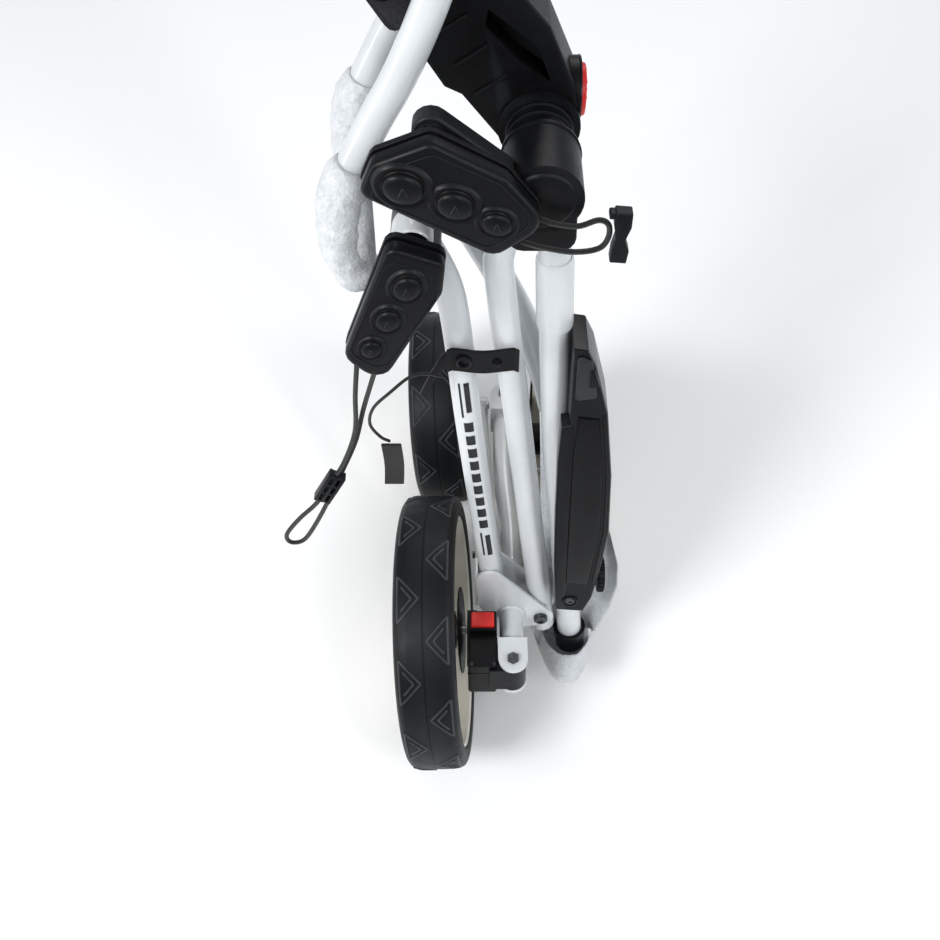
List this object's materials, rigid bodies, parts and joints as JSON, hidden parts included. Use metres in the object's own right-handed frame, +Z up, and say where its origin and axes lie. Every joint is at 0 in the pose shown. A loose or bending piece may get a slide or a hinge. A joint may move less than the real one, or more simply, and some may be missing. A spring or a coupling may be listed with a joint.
{
  "type": "folded electric golf trolley",
  "caption": "Folded electric golf trolley stood on its wheels: white tube frame, folding drive wheels, bag pads and handle.",
  "frame": {"origin": "middle of the footprint's box, on the floor", "axes": "+Z up; +X across the folded frame towards the battery; +Y from the viewer's side to the back"},
  "size_m": [0.3234, 0.556, 0.9146],
  "materials": {
    "frame_paint": "white gloss powder coat",
    "tyre": "matt foam tyre with outlined triangles",
    "rim": "satin cream moulding",
    "black_plastic": "fine grained black",
    "gloss_black": "satin black",
    "pad_rubber": "moulded black rubber",
    "red_plastic": "satin red",
    "steel": "bright",
    "foam": "crinkled packing foam",
    "elastic": "woven elastic cord",
    "webbing": "flat webbing",
    "battery": "shrink wrap"
  },
  "bodies": {
    "chassis": {"fold_bracket": "frame_paint", "leg_left": "frame_paint", "leg_right": "frame_paint", "clevis_left": "frame_paint", "clevis_right": "frame_paint", "clevis_pin_left": "steel", "clevis_pin_right": "steel", "rear_frame_tube": "frame_paint", "fold_bolt": "steel", "front_arm_pin": "steel", "front_arm": "frame_paint", "axle_front": "steel", "frame_strap": "pad_rubber", "lower_pad_clamp": "black_plastic", "lower_pad_screw": "steel", "small_loop": "elastic", "small_loop_tab": "webbing"},
    "left_drive": {"drive_case_left": "black_plastic", "axle_left": "steel", "dust_disc_left": "black_plastic"},
    "left_wheel": {"tyre_left": "tyre", "rim_left": "rim"},
    "left_release": {"release_button_left": "red_plastic"},
    "right_drive": {"drive_case_right": "black_plastic", "axle_right": "steel", "dust_disc_right": "black_plastic", "foam_wheel_wrap": "foam"},
    "right_wheel": {"tyre_right": "tyre", "rim_right": "rim"},
    "right_release": {"release_button_right": "red_plastic"},
    "front_wheel": {"tyre_front": "tyre", "rim_front": "rim"},
    "upright": {"upright_tube": "frame_paint", "battery_tube": "frame_paint", "tube_foot": "pad_rubber", "cross_link": "frame_paint", "hinge_lower_housing": "black_plastic", "upper_pad_arm": "black_plastic", "upper_pad_screw": "steel", "battery_case": "gloss_black", "battery_pack": "battery", "foam_sheet": "foam"},
    "knob": {"charge_knob": "black_plastic"},
    "handle": {"handle_link": "black_plastic", "hinge_collar": "gloss_black", "console": "gloss_black", "grip_tube_near": "frame_paint", "grip_tube_far": "frame_paint", "grip_foam_near": "foam", "grip_foam_far": "foam", "grip_wrap": "pad_rubber"},
    "handle_button": {"handle_release": "red_plastic"},
    "dial": {"speed_dial": "pad_rubber"},
    "upper_pad": {"upper_pad_back": "black_plastic", "upper_pad_face": "pad_rubber", "upper_bungee": "elastic", "upper_hook": "black_plastic"},
    "lower_pad": {"lower_pad_back": "black_plastic", "lower_pad_face": "pad_rubber", "lower_bungee": "elastic"}
  },
  "joints": [
    {"name": "left_wheel_fold", "type": "hinge", "parent": "chassis", "child": "left_drive", "pos_m": [0.02055, -0.19316, 0.1943], "axis": [0, 0.2149, 0.9766], "range_deg": [0, 90]},
    {"name": "left_wheel_spin", "type": "hinge", "parent": "left_drive", "child": "left_wheel", "pos_m": [-0.05745, -0.133, 0.1461], "axis": [0.9969, 0, 0.0785], "continuous": true},
    {"name": "left_release_press", "type": "slide", "parent": "left_drive", "child": "left_release", "axis": [0, -0.2149, -0.9766], "range_m": [0, 0.003], "stiffness_N_per_m": 600, "springref_m": -0.001},
    {"name": "right_wheel_fold", "type": "hinge", "parent": "chassis", "child": "right_drive", "pos_m": [0.01755, 0.16722, 0.11502], "axis": [0, 0.2149, 0.9766], "range_deg": [0, 90]},
    {"name": "right_wheel_spin", "type": "hinge", "parent": "right_drive", "child": "right_wheel", "pos_m": [0.08055, 0.0605, 0.145], "axis": [1, 0, 0], "continuous": true},
    {"name": "right_release_press", "type": "slide", "parent": "right_drive", "child": "right_release", "axis": [0, -0.2149, -0.9766], "range_m": [0, 0.003], "stiffness_N_per_m": 600, "springref_m": -0.001},
    {"name": "front_wheel_spin", "type": "hinge", "parent": "chassis", "child": "front_wheel", "pos_m": [-0.05445, 0.163, 0.1162], "axis": [0.9969, 0, 0.0785], "continuous": true},
    {"name": "main_fold", "type": "hinge", "parent": "chassis", "child": "upright", "pos_m": [0.05155, -0.11241, 0.17039], "axis": [0, 0.9766, -0.2149], "range_deg": [0, 18]},
    {"name": "handle_fold", "type": "hinge", "parent": "upright", "child": "handle", "pos_m": [0.02655, 0.01006, 0.72708], "axis": [0, 0.9766, -0.2149], "range_deg": [0, 90]},
    {"name": "handle_release_press", "type": "slide", "parent": "handle", "child": "handle_button", "axis": [-1, 0, 0], "range_m": [0, 0.003], "stiffness_N_per_m": 600, "springref_m": -0.001},
    {"name": "speed_dial_turn", "type": "hinge", "parent": "handle", "child": "dial", "pos_m": [-0.06445, 0.04522, 0.87293], "axis": [0, 0.9766, -0.2149], "continuous": true},
    {"name": "charge_knob_turn", "type": "hinge", "parent": "upright", "child": "knob", "pos_m": [0.11055, -0.10659, 0.23874], "axis": [1, 0, 0], "continuous": true},
    {"name": "upper_pad_swivel", "type": "hinge", "parent": "upright", "child": "upper_pad", "pos_m": [-0.04745, -0.03823, 0.78685], "axis": [0, 0.9766, -0.2149], "range_deg": [-10, 10]},
    {"name": "lower_pad_swivel", "type": "hinge", "parent": "chassis", "child": "lower_pad", "pos_m": [-0.06445, -0.0419, 0.67708], "axis": [0, 0.9766, -0.2149], "range_deg": [-10, 10]}
  ],
  "couplings": [
    {"joint": "main_fold", "follows": "handle_fold", "ratio": 0.2}
  ]
}
